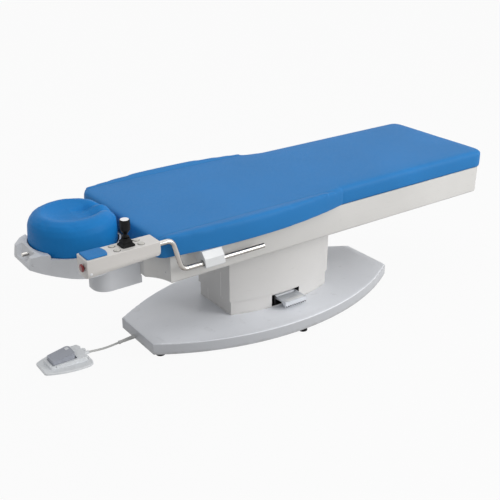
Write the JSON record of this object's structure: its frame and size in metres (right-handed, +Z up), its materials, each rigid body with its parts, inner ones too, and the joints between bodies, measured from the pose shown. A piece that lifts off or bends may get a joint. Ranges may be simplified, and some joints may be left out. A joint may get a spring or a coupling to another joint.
{
  "type": "operating table",
  "caption": "Eye-surgery operating table: pedestal with telescopic column, tilting blue top, dished head rest and a joystick console on a swing arm.",
  "frame": {"origin": "on the floor under the middle of the base", "axes": "+X towards the foot end, +Y away from the console arm, +Z up"},
  "size_m": [2.0146, 0.6879, 0.675],
  "materials": {
    "base_cover": "satin",
    "galvanised_steel": "matt",
    "foot_rubber": "matt",
    "bright_steel": "satin",
    "column_paint": "satin",
    "mast_aluminium": "anodised",
    "spindle_steel": "satin",
    "frame_steel": "matt",
    "casing_paint": "satin",
    "blue_vinyl": "soft vinyl",
    "head_vinyl": "soft vinyl",
    "board_laminate": "matt",
    "head_plastic": "satin",
    "guide_plastic": "waxy",
    "chrome": "polished",
    "white_casting": "satin",
    "bush_plastic": "matt",
    "console_plastic": "satin",
    "button_plastic": "gloss",
    "red_plastic": "gloss",
    "black_plastic": "satin",
    "black_rubber": "matt",
    "grey_rubber": "satin",
    "pedal_paint": "satin",
    "well_steel": "matt",
    "switch_plastic": "satin",
    "tread_plastic": "satin",
    "castor_metal": "zinc plated",
    "castor_tyre": "matt"
  },
  "bodies": {
    "base": {"base_housing": "base_cover", "base_plate": "galvanised_steel", "foot_pads": "foot_rubber", "foot_screws": "bright_steel", "hinge_pins": "bright_steel", "carriage_guides": "bright_steel", "cover_lower": "column_paint", "mast_lower": "mast_aluminium", "spindle_lower": "spindle_steel", "pedal_well": "well_steel", "foot_switch_housing": "switch_plastic", "foot_switch_cord": "grey_rubber", "cord_relief": "grey_rubber"},
    "castor_carriage": {"castor_carriage": "galvanised_steel"},
    "column_middle": {"cover_middle": "column_paint", "mast_middle": "mast_aluminium", "spindle_middle": "bright_steel"},
    "column_head": {"cover_upper": "column_paint", "mast_upper": "mast_aluminium", "spindle_rod": "bright_steel", "column_head": "mast_aluminium"},
    "table_top": {"tilt_shaft": "bright_steel", "top_frame": "frame_steel", "tilt_motor": "frame_steel", "side_casing": "casing_paint", "casing_brackets": "galvanised_steel", "mattress": "blue_vinyl", "mattress_board": "board_laminate", "head_housing": "head_plastic", "runner_guides": "guide_plastic", "clamp_block": "white_casting"},
    "head_rest": {"head_cushion": "head_vinyl", "head_tray": "head_plastic", "tilt_runners": "bright_steel"},
    "release_knob": {"release_knob": "chrome"},
    "clamp_bush": {"clamp_bush": "bush_plastic"},
    "console": {"console_tube": "chrome", "console_body": "console_plastic", "console_lid": "console_plastic", "arm_pad": "blue_vinyl", "joystick_boot": "black_rubber"},
    "joystick_gimbal": {"joystick_gimbal": "bright_steel"},
    "joystick": {"joystick": "black_plastic", "knob_disc": "chrome"},
    "stop_button": {"stop_button": "red_plastic"},
    "castor_pedal": {"castor_pedal": "pedal_paint", "pedal_studs": "foot_rubber"},
    "foot_switch_tread": {"foot_switch_tread": "tread_plastic"},
    "castor_1": {"castor_fork_1": "castor_metal"},
    "castor_wheels_1": {"castor_wheels_1": "castor_tyre"},
    "castor_2": {"castor_fork_2": "castor_metal"},
    "castor_wheels_2": {"castor_wheels_2": "castor_tyre"},
    "castor_3": {"castor_fork_3": "castor_metal"},
    "castor_wheels_3": {"castor_wheels_3": "castor_tyre"},
    "castor_4": {"castor_fork_4": "castor_metal"},
    "castor_wheels_4": {"castor_wheels_4": "castor_tyre"},
    "push_button_1": {"push_button_1": "button_plastic"},
    "push_button_2": {"push_button_2": "button_plastic"},
    "push_button_3": {"push_button_3": "button_plastic"},
    "push_button_4": {"push_button_4": "button_plastic"}
  },
  "joints": [
    {"name": "lift", "type": "slide", "parent": "base", "child": "column_head", "axis": [0, 0, 1], "range_m": [0, 0.3]},
    {"name": "lift_middle", "type": "slide", "parent": "base", "child": "column_middle", "axis": [0, 0, 1], "range_m": [0, 0.15]},
    {"name": "top_tilt", "type": "hinge", "parent": "column_head", "child": "table_top", "pos_m": [0.008, 0, 0.44], "axis": [0, 1, 0], "range_deg": [-8, 8]},
    {"name": "head_tilt", "type": "hinge", "parent": "table_top", "child": "head_rest", "pos_m": [-0.662, 0, 0.548], "axis": [0, 1, 0], "range_deg": [0, 15]},
    {"name": "knob_pull", "type": "slide", "parent": "head_rest", "child": "release_knob", "axis": [-1, 0, 0], "range_m": [0, 0.006], "stiffness_N_per_m": 400, "springref_m": -0.001},
    {"name": "console_swing", "type": "hinge", "parent": "table_top", "child": "clamp_bush", "pos_m": [-0.45, -0.321, 0.448], "axis": [1, 0, 0], "range_deg": [0, 90]},
    {"name": "console_reach", "type": "slide", "parent": "clamp_bush", "child": "console", "axis": [1, 0, 0], "range_m": [-0.15, 0.01]},
    {"name": "joystick_side", "type": "hinge", "parent": "console", "child": "joystick_gimbal", "pos_m": [-0.768, -0.308, 0.5755], "axis": [1, 0, 0], "range_deg": [-8, 8], "stiffness_Nm_per_rad": 1.2},
    {"name": "joystick_fore", "type": "hinge", "parent": "joystick_gimbal", "child": "joystick", "pos_m": [-0.768, -0.308, 0.5755], "axis": [0, 1, 0], "range_deg": [-8, 8], "stiffness_Nm_per_rad": 1.2},
    {"name": "stop_press", "type": "slide", "parent": "console", "child": "stop_button", "axis": [1, 0, 0], "range_m": [0, 0.004], "stiffness_N_per_m": 400, "springref_m": -0.001},
    {"name": "castor_drop", "type": "slide", "parent": "base", "child": "castor_carriage", "axis": [0, 0, -1], "range_m": [0, 0.01]},
    {"name": "pedal_press", "type": "hinge", "parent": "base", "child": "castor_pedal", "pos_m": [0.0185, -0.128, 0.094], "axis": [1, 0, 0], "range_deg": [0, 7.5]},
    {"name": "tread_press", "type": "hinge", "parent": "base", "child": "foot_switch_tread", "pos_m": [-0.928, 0.047, 0.019], "axis": [0, 1, 0], "range_deg": [0, 6], "stiffness_Nm_per_rad": 5, "springref_deg": -1.15},
    {"name": "castor_swivel_1", "type": "hinge", "parent": "castor_carriage", "child": "castor_1", "pos_m": [-0.43, -0.125, 0.05], "axis": [0, 0, 1], "continuous": true},
    {"name": "castor_roll_1", "type": "hinge", "parent": "castor_1", "child": "castor_wheels_1", "pos_m": [-0.44, -0.125, 0.022], "axis": [0, 1, 0], "continuous": true},
    {"name": "castor_swivel_2", "type": "hinge", "parent": "castor_carriage", "child": "castor_2", "pos_m": [-0.43, 0.125, 0.05], "axis": [0, 0, 1], "continuous": true},
    {"name": "castor_roll_2", "type": "hinge", "parent": "castor_2", "child": "castor_wheels_2", "pos_m": [-0.44, 0.125, 0.022], "axis": [0, 1, 0], "continuous": true},
    {"name": "castor_swivel_3", "type": "hinge", "parent": "castor_carriage", "child": "castor_3", "pos_m": [0.43, -0.125, 0.05], "axis": [0, 0, 1], "continuous": true},
    {"name": "castor_roll_3", "type": "hinge", "parent": "castor_3", "child": "castor_wheels_3", "pos_m": [0.42, -0.125, 0.022], "axis": [0, 1, 0], "continuous": true},
    {"name": "castor_swivel_4", "type": "hinge", "parent": "castor_carriage", "child": "castor_4", "pos_m": [0.43, 0.125, 0.05], "axis": [0, 0, 1], "continuous": true},
    {"name": "castor_roll_4", "type": "hinge", "parent": "castor_4", "child": "castor_wheels_4", "pos_m": [0.42, 0.125, 0.022], "axis": [0, 1, 0], "continuous": true},
    {"name": "button_press_1", "type": "slide", "parent": "console", "child": "push_button_1", "axis": [0, 0, -1], "range_m": [0, 0.002], "stiffness_N_per_m": 300, "springref_m": -0.0005},
    {"name": "button_press_2", "type": "slide", "parent": "console", "child": "push_button_2", "axis": [0, 0, -1], "range_m": [0, 0.002], "stiffness_N_per_m": 300, "springref_m": -0.0005},
    {"name": "button_press_3", "type": "slide", "parent": "console", "child": "push_button_3", "axis": [0, 0, -1], "range_m": [0, 0.002], "stiffness_N_per_m": 300, "springref_m": -0.0005},
    {"name": "button_press_4", "type": "slide", "parent": "console", "child": "push_button_4", "axis": [0, 0, -1], "range_m": [0, 0.002], "stiffness_N_per_m": 300, "springref_m": -0.0005}
  ],
  "couplings": [
    {"joint": "lift_middle", "follows": "lift", "ratio": 0.5},
    {"joint": "pedal_press", "follows": "castor_drop", "rad_per_m": 13.09}
  ]
}
